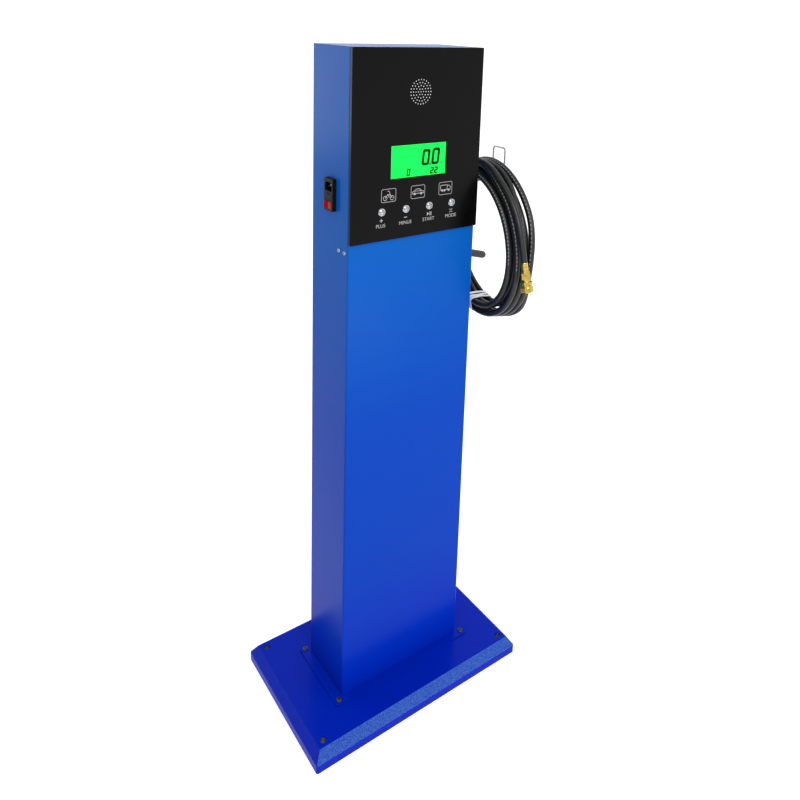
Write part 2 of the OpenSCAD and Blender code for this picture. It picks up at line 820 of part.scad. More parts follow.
// A wire bent to a U lying on its side, with its closed end turned up
module hose_hook() {
    wire_r = hook_wire_d / 2;
    end_x = half_w + hook_reach;
    color([0.7, 0.71, 0.72]) {
        for (s = [-1, 1]) translate([0, hook_y + s * hook_half, 0]) {
            translate([half_w, 0, hook_z]) rotate([0, 90, 0]) cylinder(r = wire_r, h = hook_reach - hook_bend);
            translate([end_x - hook_bend, 0, hook_z + hook_bend]) rotate([90, 0, 0]) rotate([0, 0, 270])
                rotate_extrude(angle = 90) translate([hook_bend, 0]) circle(r = wire_r, $fn = 24);
            translate([end_x, 0, hook_z + hook_bend])
                cylinder(r = wire_r, h = hook_top_z - hook_z - 2 * hook_bend);
        }
        for (s = [0, 1]) translate([end_x, hook_y, hook_top_z - hook_bend]) rotate([0, 0, 180 * s])
            translate([0, hook_half - hook_bend, 0]) rotate([90, 0, 90])
            rotate_extrude(angle = 90) translate([hook_bend, 0]) circle(r = wire_r, $fn = 24);
        translate([end_x, hook_y - hook_half + hook_bend, hook_top_z]) rotate([-90, 0, 0])
            cylinder(r = wire_r, h = 2 * (hook_half - hook_bend));
        on_right(hook_y, hook_z) difference() {
            linear_extrude(hook_plate_t) rounded_rect(48, 38, 3);
            for (dz = [-12, 12]) translate([0, dz, -1]) cylinder(r = 2.6, h = hook_plate_t + 2);
        }
    }
}

module hook_screws() {
    color(zinc) for (dz = [-12, 12]) on_right(hook_y, hook_z + dz) translate([0, 0, hook_plate_t]) {
        button_head_screw(4.6, 2.6, 2.5, 14, 3);
        translate([0, 0, -hook_plate_t - sheet_t - 4]) hex_nut(8, 4, 2.5);
    }
}

// The rod slopes down a little from its collar
module peg_place() {
    on_right(peg_y, peg_z) rotate([peg_tilt, 0, 0]) children();
}

module rest_peg() {
    color([0.6, 0.61, 0.62]) {
        on_right(peg_y, peg_z) {
            cylinder(r = 10, h = 7);
            translate([0, 0, -12]) cylinder(r = 3, h = 13);
        }
        peg_place() translate([0, 0, 3]) cylinder(r = 4, h = peg_l - 9);
    }
}

module rest_peg_cap() {
    cap_l = 43;
    color([0.35, 0.35, 0.36]) peg_place() translate([0, 0, peg_l - cap_l]) difference() {
        union() {
            cylinder(r = 7.5, h = cap_l - 6);
            translate([0, 0, cap_l - 6]) intersection() {
                sphere(r = 7.5);
                translate([0, 0, 3]) cube([16, 16, 6], center = true);
            }
        }
        translate([0, 0, -1]) cylinder(r = 4, h = cap_l - 5);
    }
}

module rest_peg_nut() {
    color(zinc) on_right(peg_y, peg_z) translate([0, 0, -sheet_t - 5]) hex_nut(10, 5, 3);
}

// ---------- hose ----------

function oval(grow, sag) = [
    for (k = [0:63]) let (q = 360 * k / 64)
        [(coil_a + grow) * cos(q), (coil_b + grow + sag) * sin(q) - sag]
];

// A point of the leaning oval at angle q, in the coil's own plane
function on_coil(q) =
    let (u = coil_a * cos(q), v = coil_b * sin(q))
    [coil_y + u * cos(-coil_lean) - v * sin(-coil_lean), coil_z + u * sin(-coil_lean) + v * cos(-coil_lean)];

module hose_lead() {
    color([0.05, 0.05, 0.05]) sweep(smooth(lead_route, 3), hose_d / 2, 12);
}

// The outer shape of all the turns together, with the outer turns sagging a little
module hose_coil() {
    color([0.05, 0.05, 0.05]) translate([coil_x0, coil_y, coil_z]) rotate([90, 0, 90]) rotate([0, 0, -coil_lean])
        linear_extrude(coil_x1 - coil_x0) difference() {
            polygon(oval(coil_out, coil_sag));
            polygon(oval(-coil_in, 0));
        }
}

module hose_tail() {
    color([0.05, 0.05, 0.05]) sweep(smooth(tail_route, 2), hose_d / 2, 12);
}

// A strap pulled round the bundle near its lowest point, with its buckle on the outside
module tie_wrap() {
    q = 297;
    strap_w = 8;
    gap = 0.8;
    outer = coil_out + 1.6 * coil_sag;
    middle = on_coil(q);
    ahead = on_coil(q + 1);
    turn = atan2(ahead.y - middle.y, ahead.x - middle.x);
    thick = coil_in + outer;
    wide = coil_x1 - coil_x0;
    color([0.9, 0.9, 0.92]) translate([(coil_x0 + coil_x1) / 2, middle.x, middle.y])
        rotate([turn, 0, 0]) translate([0, 0, (coil_in - outer) / 2]) difference() {
            union() {
                cube([wide + 2 * gap + 3, strap_w, thick + 2 * gap + 3], center = true);
                translate([wide / 2 - 12, 0, -thick / 2 - 3]) cube([10, strap_w + 2, 5], center = true);
            }
            cube([wide + 2 * gap, strap_w + 4, thick + 2 * gap], center = true);
        }
}

// Children with +Z running down along the hose's free end, from the end of the rubber
module on_end() {
    translate(tail_end) rotate([180 - end_tilt, 0, 0]) children();
}

module hose_ferrule() {
    color([0.83, 0.62, 0.2]) on_end() rotate_extrude() polygon([
        [0, 0], [6.8, 0], [7, 1], [7, 5], [6.7, 5.7], [7, 6.4], [7, 10.5], [6.7, 11.2],
        [7, 11.9], [7, 16], [0, 16]
    ]);
}

module hose_connector() {
    color([0.83, 0.62, 0.2]) on_end() difference() {
        union() {
            translate([0, 0, 16]) cylinder(r = 8.2, h = 4);
            translate([0, 0, 20]) hexagon(17, 12);
            translate([0, 0, 32]) cylinder(r = 7.9, h = 26);
        }
        translate([0, 0, 34]) cylinder(r = 4.9, h = 25);
    }
}

// The outer sleeve is pulled back along the hose to release what is plugged in
module coupling_sleeve() {
    knurls = 30;
    color([0.83, 0.62, 0.2]) on_end() translate([0, 0, 36.5]) difference() {
        rotate_extrude() polygon([
            [7.96, 0], [11.8, 0], [12.4, 0.8], [12.4, 6], [11.4, 7], [11.4, 9], [12.4, 10],
            [12.8, 11], [12.8, 19], [12, 20], [7.96, 20]
        ]);
        for (k = [0:knurls - 1]) rotate([0, 0, 360 * k / knurls]) translate([13, 0, 11.6])
            rotate([0, 0, 45]) cube([0.9, 0.9, 7]);
    }
}

// ---------- assembly ----------

base_plinth();
base_stiffeners();
anchor_tubes();
column_flange();
flange_screws();
flange_nuts();
column_shell();
fascia_panel();
fascia_studs();
lcd_window();
lcd_module();
speaker_driver();
increase_button();
reduce_button();
start_button();
unit_button();
button_barrels();
button_nuts();
button_board();
main_board();
board_standoffs();
ribbon_cable();
power_inlet_housing();
inlet_pins();
fuse_drawer();
fuse_link();
power_rocker();
terminal_block();
side_screws();
mounting_plate();
power_supply();
valve_manifold();
solenoid_coils();
pressure_sensor();
exhaust_muffler();
air_filter();
air_tubes();
supply_inlet();
outlet_elbow();
outlet_nut();
outlet_ferrule();
rear_door();
hinge_posts();
hinge_sleeves();
lock_housing();
lock_nut();
lock_plug();
lock_cam();
hose_hook();
hook_screws();
rest_peg();
rest_peg_cap();
rest_peg_nut();
hose_lead();
hose_coil();
hose_tail();
tie_wrap();
hose_ferrule();
hose_connector();
coupling_sleeve();
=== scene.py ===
"""Looks, camera and light for a free-standing tyre inflator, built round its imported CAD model. Metres."""
import json
import math

import bpy
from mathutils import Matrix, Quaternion, Vector


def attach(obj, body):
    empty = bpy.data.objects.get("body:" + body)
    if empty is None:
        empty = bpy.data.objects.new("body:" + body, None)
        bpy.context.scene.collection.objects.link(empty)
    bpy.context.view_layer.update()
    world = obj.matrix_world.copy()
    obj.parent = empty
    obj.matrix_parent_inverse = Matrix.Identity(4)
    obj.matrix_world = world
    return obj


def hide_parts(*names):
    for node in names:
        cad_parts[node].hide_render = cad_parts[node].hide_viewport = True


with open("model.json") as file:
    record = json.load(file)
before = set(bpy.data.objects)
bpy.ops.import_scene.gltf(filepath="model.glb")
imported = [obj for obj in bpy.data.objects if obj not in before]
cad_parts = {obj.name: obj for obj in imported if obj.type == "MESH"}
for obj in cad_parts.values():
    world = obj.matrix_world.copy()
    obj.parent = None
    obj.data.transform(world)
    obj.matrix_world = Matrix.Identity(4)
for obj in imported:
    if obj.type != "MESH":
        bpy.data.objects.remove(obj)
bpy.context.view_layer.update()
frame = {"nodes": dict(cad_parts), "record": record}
nodes = frame["nodes"]
scene = bpy.context.scene
MM = 0.001


# ---------- helpers ----------

def add_object(name, data):
    """An object that rides on the body that stands still."""
    obj = bpy.data.objects.new(name, data)
    scene.collection.objects.link(obj)
    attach(obj, "pedestal")
    return obj


def mesh_object(name, verts, faces, mat):
    mesh = bpy.data.meshes.new(name)
    mesh.from_pydata([tuple(v) for v in verts], [], faces)
    mesh.update()
    mesh.materials.append(mat)
    obj = add_object(name, mesh)
    return obj


def ease(t):
    """0 before 0, 1 after 1, and a smooth step between them."""
    t = min(1.0, max(0.0, t))
    return t * t * (3 - 2 * t)


# ---------- camera ----------

def add_camera():
    data = bpy.data.cameras.new("camera")
    data.sensor_width = 36.0
    data.lens = 33.39
    data.shift_x = -0.0308
    data.shift_y = -0.293
    camera = bpy.data.objects.new("camera", data)
    camera.location = (-0.7875, -1.166, 1.384)
    level = Vector((0.5804, 0.7913, -0.1925)).to_track_quat("-Z", "Y")
    camera.rotation_mode = "QUATERNION"
    camera.rotation_quaternion = level @ Quaternion((0, 0, 1), math.radians(1.93))
    scene.collection.objects.link(camera)
    scene.camera = camera


add_camera()


# ---------- materials ----------

def material(name, colour, roughness, metallic=0.0, **inputs):
    """A Principled material. Words in inputs are its sockets' names with _ for a space."""
    mat = bpy.data.materials.new(name)
    mat.use_nodes = True
    shader = mat.node_tree.nodes["Principled BSDF"]
    shader.inputs["Base Color"].default_value = (*colour, 1.0)
    shader.inputs["Roughness"].default_value = roughness
    shader.inputs["Metallic"].default_value = metallic
    for key, value in inputs.items():
        shader.inputs[key.replace("_", " ")].default_value = value
    mat.diffuse_color = (*colour, 1.0)
    return mat


def noise(mat, scale, detail=2.0, stretch=(1, 1, 1)):
    """A noise texture in the object's own space, so it moves with the piece."""
    tree = mat.node_tree
    where = tree.nodes.new("ShaderNodeTexCoord")
    mapping = tree.nodes.new("ShaderNodeMapping")
    mapping.inputs["Scale"].default_value = stretch
    texture = tree.nodes.new("ShaderNodeTexNoise")
    texture.inputs["Scale"].default_value = scale
    texture.inputs["Detail"].default_value = detail
    tree.links.new(where.outputs["Object"], mapping.inputs["Vector"])
    tree.links.new(mapping.outputs["Vector"], texture.inputs["Vector"])
    return texture.outputs["Fac"]


def bump(mat, scale, strength):
    """Fine surface grain, 0.2 mm deep at full strength."""
    tree = mat.node_tree
    node = tree.nodes.new("ShaderNodeBump")
    node.inputs["Strength"].default_value = strength
    node.inputs["Distance"].default_value = 0.2 * MM
    tree.links.new(noise(mat, scale), node.inputs["Height"])
    tree.links.new(node.outputs["Normal"], tree.nodes["Principled BSDF"].inputs["Normal"])


def vary(mat, socket, low, high, scale, stretch=(1, 1, 1)):
    """Drives a number or colour socket between low and high by noise."""
    tree = mat.node_tree
    colours = not isinstance(low, float)
    ramp = tree.nodes.new("ShaderNodeValToRGB")
    ramp.color_ramp.interpolation = "EASE"
    ramp.color_ramp.elements[0].position = 0.35
    ramp.color_ramp.elements[1].position = 0.65
    ramp.color_ramp.elements[0].color = (*low, 1) if colours else (low, low, low, 1)
    ramp.color_ramp.elements[1].color = (*high, 1) if colours else (high, high, high, 1)
    tree.links.new(noise(mat, scale, stretch=stretch), ramp.inputs["Fac"])
    tree.links.new(ramp.outputs["Color"], tree.nodes["Principled BSDF"].inputs[socket])


def ramp_by(mat, source, stops):
    """A colour ramp fed by source; stops are (position, colour)."""
    ramp = mat.node_tree.nodes.new("ShaderNodeValToRGB")
    elements = ramp.color_ramp.elements
    while len(elements) < len(stops):
        elements.new(0.5)
    for element, (position, colour) in zip(elements, stops):
        element.position = position
        element.color = (*colour, 1)
    mat.node_tree.links.new(source, ramp.inputs["Fac"])
    return ramp.outputs["Color"]


# Size of the noise for the coat's grain bump and for its painted glints.
GRAIN_AND_GLINT_SCALE = 900.0
MIX_A, MIX_B, MIX_RESULT = 6, 7, 2


def multiply(tree, a, b):
    node = tree.nodes.new("ShaderNodeMath")
    node.operation = "MULTIPLY"
    tree.links.new(a, node.inputs[0])
    if isinstance(b, float):
        node.inputs[1].default_value = b
    else:
        tree.links.new(b, node.inputs[1])
    return node.outputs["Value"]


def powder_coat(name):
    """Glossy blue powder coat with a fine grain bump on its sloping bands, a painted sheen that makes it a
    touch lighter and greener high up, and painted glints as lighter flecks on its front-facing slopes.
    """
    mat = material(name, (0.0, 0.03, 0.38), 0.3, Specular_IOR_Level=0.05)
    tree = mat.node_tree
    shader = tree.nodes["Principled BSDF"]
    where = tree.nodes.new("ShaderNodeTexCoord")
    split = tree.nodes.new("ShaderNodeSeparateXYZ")
    tree.links.new(where.outputs["Object"], split.inputs["Vector"])
    # Painted sheen: the colour turns lighter and greener with height, standing in for the bright reflection
    # high on the column, and stays darker low down.
    height = ramp_by(mat, split.outputs["Z"], [
        (0.0, (0.0, 0.012, 0.37)), (0.05, (0.0, 0.016, 0.36)), (0.3, (0.0, 0.036, 0.35)),
        (0.62, (0.0, 0.044, 0.36)), (0.97, (0.002, 0.084, 0.38)),
    ])
    facing = tree.nodes.new("ShaderNodeNewGeometry")
    slope = tree.nodes.new("ShaderNodeSeparateXYZ")
    tree.links.new(facing.outputs["Normal"], slope.inputs["Vector"])
    on_slope = ramp_by(mat, slope.outputs["Z"], [
        (0.2, (0, 0, 0)), (0.35, (1, 1, 1)), (0.8, (1, 1, 1)), (0.9, (0, 0, 0)),
    ])
    dent = tree.nodes.new("ShaderNodeBump")
    dent.inputs["Distance"].default_value = 0.6 * MM
    tree.links.new(multiply(tree, on_slope, 0.9), dent.inputs["Strength"])
    tree.links.new(noise(mat, GRAIN_AND_GLINT_SCALE), dent.inputs["Height"])
    tree.links.new(dent.outputs["Normal"], shader.inputs["Normal"])
    # Painted glints: lighter noise flecks in the colour stand in for light caught by the bevel's grain.
    painted_glints = ramp_by(mat, noise(mat, GRAIN_AND_GLINT_SCALE, detail=0.0), [
        (0.40, (0.0, 0.035, 0.32)), (0.62, (0.055, 0.125, 0.40)),
    ])
    facing_front = tree.nodes.new("ShaderNodeMath")
    facing_front.operation = "LESS_THAN"
    tree.links.new(slope.outputs["Y"], facing_front.inputs[0])
    facing_front.inputs[1].default_value = -0.4
    # Mask for the painted glints: only sloping faces that turn to the front.
    painted_glint_mask = multiply(tree, on_slope, facing_front.outputs["Value"])
    mix = tree.nodes.new("ShaderNodeMix")
    mix.data_type = "RGBA"
    tree.links.new(painted_glint_mask, mix.inputs["Factor"])
    tree.links.new(height, mix.inputs[MIX_A])
    tree.links.new(painted_glints, mix.inputs[MIX_B])
    tree.links.new(mix.outputs[MIX_RESULT], shader.inputs["Base Color"])
    vary(mat, "Roughness", 0.24, 0.27, 12.0)
    return mat


blue_paint = powder_coat("blue_powder_coat")

black_acrylic = material("black_acrylic", (0.001, 0.001, 0.001), 0.2, Specular_IOR_Level=0.1)
vary(black_acrylic, "Roughness", 0.2, 0.26, 30.0)

rubber = material("black_rubber", (0.008, 0.008, 0.008), 0.36, Specular_IOR_Level=0.4)
vary(rubber, "Roughness", 0.3, 0.42, 120.0)
bump(rubber, 900.0, 0.12)

grey_rubber = material("grey_rubber", (0.03, 0.028, 0.028), 0.5)
bump(grey_rubber, 700.0, 0.2)

chrome = material("chrome", (0.35, 0.36, 0.38), 0.08, metallic=1.0)
vary(chrome, "Roughness", 0.05, 0.12, 60.0)

steel = material("nickelled_steel", (0.5, 0.51, 0.53), 0.22, metallic=1.0)
vary(steel, "Roughness", 0.17, 0.28, 80.0)

zinc = material("zinc_steel", (0.42, 0.43, 0.45), 0.3, metallic=1.0)
vary(zinc, "Base Color", (0.38, 0.39, 0.41), (0.45, 0.46, 0.48), 160.0)
vary(zinc, "Roughness", 0.32, 0.38, 200.0)

black_steel = material("black_oxide_steel", (0.02, 0.02, 0.022), 0.38)
bump(black_steel, 800.0, 0.1)

black_plastic = material("black_plastic", (0.004, 0.004, 0.005), 0.4, Specular_IOR_Level=0.08)
bump(black_plastic, 1200.0, 0.12)

red_plastic = material("red_plastic", (0.28, 0.004, 0.004), 0.25, Specular_IOR_Level=0.12)
vary(red_plastic, "Roughness", 0.18, 0.28, 100.0)

fuse_glass = material("fuse_glass", (0.9, 0.94, 0.94), 0.05, Transmission_Weight=0.9)

board_green = material("board_green", (0.01, 0.13, 0.05), 0.35)
vary(board_green, "Base Color", (0.008, 0.11, 0.04), (0.014, 0.16, 0.06), 300.0, stretch=(1, 1, 3))

grey_ribbon = material("grey_ribbon", (0.45, 0.45, 0.47), 0.5)
vary(grey_ribbon, "Base Color", (0.38, 0.38, 0.4), (0.5, 0.5, 0.52), 700.0, stretch=(1, 0, 0))

cream_plastic = material("cream_plastic", (0.7, 0.67, 0.58), 0.45)
bump(cream_plastic, 900.0, 0.1)

aluminium = material("aluminium", (0.72, 0.73, 0.75), 0.32, metallic=1.0)
vary(aluminium, "Roughness", 0.25, 0.4, 50.0, stretch=(1, 1, 14))

blue_tube = material("blue_tube", (0.01, 0.09, 0.5), 0.25)
vary(blue_tube, "Roughness", 0.2, 0.32, 60.0)

brass = material("brass", (0.6, 0.42, 0.1), 0.2, metallic=1.0)
vary(brass, "Base Color", (0.52, 0.36, 0.07), (0.7, 0.52, 0.14), 70.0)
vary(brass, "Roughness", 0.14, 0.26, 90.0)

strap_plastic = material("clear_strap", (0.9, 0.9, 0.92), 0.2, Transmission_Weight=0.12, IOR=1.4)
vary(strap_plastic, "Roughness", 0.15, 0.4, 300.0)

grey_print = material("grey_print", (0.32, 0.32, 0.33), 0.5, Specular_IOR_Level=0.2)
vary(grey_print, "Roughness", 0.4, 0.52, 200.0)

display_green = material(
    "display_green", (0.0, 0.35, 0.04), 0.14, Specular_IOR_Level=0.15,
    Emission_Color=(0.0, 1.0, 0.07, 1.0), Emission_Strength=0.85,
)
vary(display_green, "Roughness", 0.12, 0.17, 60.0)

segment_black = material("segment_black", (0.001, 0.03, 0.003), 0.35, Specular_IOR_Level=0.1)
vary(segment_black, "Roughness", 0.3, 0.4, 200.0)

stripe_print = material("stripe_print", (0.2, 0.2, 0.2), 0.6)
vary(stripe_print, "Roughness", 0.5, 0.7, 300.0)

gauze = material("pale_gauze", (0.62, 0.62, 0.64), 0.5)
vary(gauze, "Roughness", 0.4, 0.6, 900.0)

segment_grey = material("segment_grey", (0.0, 0.10, 0.015), 0.35, Specular_IOR_Level=0.1)
vary(segment_grey, "Roughness", 0.3, 0.4, 200.0)

SLOT_LOOKS = {
    "blue_paint": blue_paint,
    "black_acrylic": black_acrylic,
    "display_glass": display_green,
    "display_body": cream_plastic,
    "chrome": chrome,
    "bright_steel": steel,
    "zinc_steel": zinc,
    "black_steel": black_steel,
    "black_plastic": black_plastic,
    "red_plastic": red_plastic,
    "fuse_glass": fuse_glass,
    "circuit_board": board_green,
    "grey_ribbon": grey_ribbon,
    "cream_plastic": cream_plastic,
    "aluminium": aluminium,
    "blue_tube": blue_tube,
    "brass": brass,
    "black_rubber": rubber,
    "grey_rubber": grey_rubber,
    "clear_strap": strap_plastic,
}


def dress_cad_nodes():
    for part in frame["record"]["subparts"]:
        materials = nodes[part["node"]].data.materials
        materials.clear()
        materials.append(SLOT_LOOKS[part["material_slot"]])


dress_cad_nodes()


# ---------- flat shapes ----------

FASCIA_Y = -0.074
LIFT = 0.12


class Print:
    """Flat shapes on the upright face of the panel, in millimetres: x to the right, z up."""

    DEPTH = 0.25

    def __init__(self):
        self.verts = []
        self.faces = []

    def prism(self, outline, lift):
        """A thin closed solid over an outline, its front standing off the plane by lift."""
        n, base = len(outline), len(self.verts)
        self.verts += [(x, -lift, z) for x, z in outline]
        self.verts += [(x, self.DEPTH - lift, z) for x, z in outline]
        self.faces.append([base + k for k in range(n)])
        self.faces.append([base + n + k for k in reversed(range(n))])
        for k in range(n):
            m = (k + 1) % n
            self.faces.append([base + m, base + k, base + n + k, base + n + m])

    def ribbon(self, points, width, lift, closed=False):
        """A stroke along points, as one quad prism per step."""
        pts = [Vector(p) for p in points]
        count = len(pts)
        sides = []
        for k in range(count):
            before = pts[k - 1] if closed or k else pts[k]
            after = pts[(k + 1) % count] if closed or k + 1 < count else pts[k]
            along = (after - before).normalized()
            sides.append(Vector((-along.y, along.x)) * width / 2)
        for k in range(count if closed else count - 1):
            m = (k + 1) % count
            self.prism([pts[k] + sides[k], pts[k] - sides[k], pts[m] - sides[m], pts[m] + sides[m]], lift)

    def build(self, name, mat):
        verts = [(x * MM, FASCIA_Y + y * MM, z * MM) for x, y, z in self.verts]
        mesh_object(name, verts, self.faces, mat)


# ---------- hose ----------

HOSE_D = 0.013
COIL_CENTRE = (-0.038, 0.945)
COIL_A = 0.116
COIL_B = 0.153
COIL_LEAN = math.radians(18)
# Each place in the bundle: x, and how far outside the coil's middle line
HOSE_SLOTS = (
    (0.175, -0.014), (0.189, -0.0125), (0.203, -0.011), (0.217, -0.0095),
    (0.224, 0.007), (0.210, 0.005), (0.196, 0.003), (0.182, 0.001),
)
INNER_OUT = -0.011
OUTER_OUT = 0.007
OUTER_SAG = 0.006
LOOP = 360
FIRST_CROSSING = 309
CROSSING_SHIFT = 36
CROSSING_WIDTH = 50
COIL_START = -8
COIL_STEP = 15
STEPS_BETWEEN = 5
END_TILT = math.radians(13.5)
END_UP = Vector((0, math.sin(END_TILT), math.cos(END_TILT)))
TAIL_END = Vector((0.180, -0.181, 0.932))
LEAD_ROUTE = [
    (0.167, 0.034, 0.740), (0.167, 0.034, 0.752), (0.167, 0.034, 0.766), (0.1675, 0.035, 0.800),
    (0.169, 0.0385, 0.838),
]
TAIL_ROUTE = [
    (0.182, 0.054, 1.061), (0.182, 0.038, 1.079), (0.182, 0.019, 1.093), (0.182, -0.003, 1.103),
    (0.181, -0.027, 1.107), (0.181, -0.053, 1.104), (0.180, -0.079, 1.094), (0.180, -0.102, 1.077),
    (0.180, -0.121, 1.060), (0.180, -0.139, 1.039), (0.180, -0.154, 1.014), (0.180, -0.166, 0.986),
    TAIL_END + 0.025 * END_UP, TAIL_END,
]


def coil_place(turn, degrees):
    """(x, distance outside the middle line) of a turn at an angle: each turn crosses to the next place."""
    x, out = HOSE_SLOTS[turn]
    if turn + 1 < len(HOSE_SLOTS):
        share = ease((degrees - (FIRST_CROSSING - CROSSING_SHIFT * turn)) / CROSSING_WIDTH)
        next_x, next_out = HOSE_SLOTS[turn + 1]
        x += (next_x - x) * share
        out += (next_out - out) * share
    return x, out


def on_coil(x, out, degrees):
    """A point at an angle round the leaning oval: 0 at the back, 90 at the top, 180 at the front."""
    outer_row = min(1.0, max(0.0, (out - INNER_OUT) / (OUTER_OUT - INNER_OUT)))
    out += OUTER_SAG * outer_row * max(0.0, -math.sin(math.radians(degrees)))
    angle = math.radians(degrees)
    u = (COIL_A + out) * math.cos(angle)
    v = (COIL_B + out) * math.sin(angle)
    y = COIL_CENTRE[0] + u * math.cos(COIL_LEAN) + v * math.sin(COIL_LEAN)
    z = COIL_CENTRE[1] - u * math.sin(COIL_LEAN) + v * math.cos(COIL_LEAN)
    return Vector((x, y, z))


def hose_route():
    last = LOOP * (len(HOSE_SLOTS) - 1) + 50
    points = [Vector(p) for p in LEAD_ROUTE]
    for angle in range(COIL_START, last + 1, COIL_STEP):
        turn = max(0, angle) // LOOP
        degrees = angle - LOOP * turn
        points.append(on_coil(*coil_place(turn, degrees), degrees))
    return points + [Vector(p) for p in TAIL_ROUTE]


def smooth_line(points):
    """Points of the smooth curve through the given ones."""
    ends = [2 * points[0] - points[1], *points, 2 * points[-1] - points[-2]]
    line = []
    for p, q, r, s in zip(ends, ends[1:], ends[2:], ends[3:]):
        for k in range(STEPS_BETWEEN):
            t = k / STEPS_BETWEEN
            bend = (2 * p - 5 * q + 4 * r - s) * t * t + (3 * q - p - 3 * r + s) * t ** 3
            line.append(0.5 * (2 * q + (r - p) * t + bend))
    line.append(points[-1])
    return line


def add_hose():
    line = smooth_line(hose_route())
    curve = bpy.data.curves.new("rubber_hose", "CURVE")
    curve.dimensions = "3D"
    curve.bevel_depth = HOSE_D / 2
    curve.bevel_resolution = 6
    curve.use_fill_caps = True
    spline = curve.splines.new("POLY")
    spline.points.add(len(line) - 1)
    for point, place in zip(spline.points, line):
        point.co = (*place, 1)
    spline.use_smooth = True
    curve.materials.append(rubber)
    hose = add_object("rubber_hose", curve)
    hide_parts("hose_lead", "hose_coil", "hose_tail")
    return hose, line


hose, hose_line = add_hose()


STRIPE_TURNS = (0, 3, 4, 6)
STRIPE_FACING = Vector((-0.72, -0.55, 0.42))
STRIPE_HALF = 0.8 * MM
STRIPE_ABOVE = 0.25 * MM
STRIPE_BELOW = 0.4 * MM
DASH_SHARE = 0.62


def add_hose_stripe():
    """A fine broken line printed along the rubber, facing outward and up."""
    verts, faces = [], []
    per_turn = LOOP // COIL_STEP * STEPS_BETWEEN
    corners = ((1, STRIPE_ABOVE), (-1, STRIPE_ABOVE), (-1, -STRIPE_BELOW), (1, -STRIPE_BELOW))
    for k in range(30, len(hose_line) - 40):
        turn, share = divmod(k / per_turn, 1)
        if turn not in STRIPE_TURNS or not 0.18 < share < 0.8:
            continue
        p = hose_line[k]
        q = p + (hose_line[k + 1] - p) * DASH_SHARE
        along = (q - p).normalized()
        outward = (STRIPE_FACING - along * STRIPE_FACING.dot(along)).normalized()
        across = along.cross(outward) * STRIPE_HALF
        base = len(verts)
        for end in (p, q):
            for side, depth in corners:
                verts.append(end + outward * (HOSE_D / 2 + depth) + across * side)
        for a, b in ((0, 1), (1, 2), (2, 3), (3, 0)):
            faces.append([base + a, base + b, base + 4 + b, base + 4 + a])
        faces += [[base + 3, base + 2, base + 1, base], [base + 4, base + 5, base + 6, base + 7]]
    mesh_object("hose_stripe", verts, faces, stripe_print)


# ---------- print and display ----------

def round_frame(x, z, w, h, r):
    points = []
    for sx, sz, start in ((1, 1, 0), (-1, 1, 90), (-1, -1, 180), (1, -1, 270)):
        for k in range(5):
            a = math.radians(start + 22.5 * k)
            points.append((x + sx * (w / 2 - r) + r * math.cos(a), z + sz * (h / 2 - r) + r * math.sin(a)))
    return points


def circle(x, z, r, steps=20):
    angles = [math.tau * k / steps for k in range(steps)]
    return [(x + r * math.cos(a), z + r * math.sin(a)) for a in angles]


FRAME_Z = 1070
CYCLE_X, CAR_X, TRUCK_X = -65, 0, 64.4
MARK_Z = 1024.5


def draw_cycle(shape, x):
    for wheel in (x - 7.5, x + 7.5):
        shape.ribbon(circle(wheel, 1065.3, 4), 1.1, LIFT, closed=True)
    frame_line = [(x - 7.5, 1065.3), (x - 2, 1072), (x + 3, 1071.5), (x + 7.5, 1065.3)]
    rider = [(x - 2, 1072), (x + 1, 1066), (x + 3.2, 1072), (x + 1, 1077.5), (x - 2.6, 1078.5)]
    shape.ribbon(frame_line, 1.3, LIFT + 0.02)
    shape.ribbon(rider, 1.2, LIFT + 0.03)


def draw_car(shape):
    roof = [
        (-13, 1067), (-12.5, 1070.5), (-8, 1072), (-4.5, 1075.3),
        (3.5, 1075.3), (8, 1071.6), (12.6, 1070.4), (13, 1067),
    ]
    shape.ribbon(roof, 1.2, LIFT)
    shape.ribbon([(-13, 1067), (13, 1067)], 1.2, LIFT + 0.02)
    shape.ribbon([(-7.5, 1071.6), (7.5, 1071.6)], 0.9, LIFT + 0.02)
    for wheel in (-7.4, 7.4):
        shape.prism(circle(wheel, 1066.6, 2.5), LIFT + 0.03)


def draw_truck(shape, x):
    cab = [(x + 5, 1067), (x + 12, 1067), (x + 12, 1071), (x + 9.5, 1075), (x + 5, 1075)]
    shape.ribbon(round_frame(x - 3.6, 1071.5, 16, 9.4, 1.2), 1.2, LIFT, closed=True)
    shape.ribbon(cab, 1.2, LIFT + 0.02)
    for wheel in (x - 7.5, x - 2, x + 8):
        shape.prism(circle(wheel, 1066, 2.3), LIFT + 0.03)


def draw_key_marks(shape):
    """Plus, minus, start and change, each above its key's word."""
    x = -79.8
    shape.ribbon([(x - 3.3, MARK_Z), (x + 3.3, MARK_Z)], 1.5, LIFT)
    shape.ribbon([(x, MARK_Z - 3.3), (x, MARK_Z + 3.3)], 1.5, LIFT + 0.02)
    shape.ribbon([(-30, MARK_Z), (-23, MARK_Z)], 1.5, LIFT)
    low, high = MARK_Z - 3.7, MARK_Z + 3.7
    shape.prism([(22.6, low), (22.6, high), (27.6, MARK_Z)], LIFT)
    for bar in (28.6, 31.4):
        shape.prism([(bar, low), (bar + 1.5, low), (bar + 1.5, high), (bar, high)], LIFT)
    x = 79.8
    shape.ribbon([(x - 3.6, 1027.5), (x, 1025.6), (x + 3.6, 1027.5)], 1.1, LIFT)
    shape.ribbon([(x - 3.6, 1021.2), (x, 1023.2), (x + 3.6, 1021.2)], 1.1, LIFT)


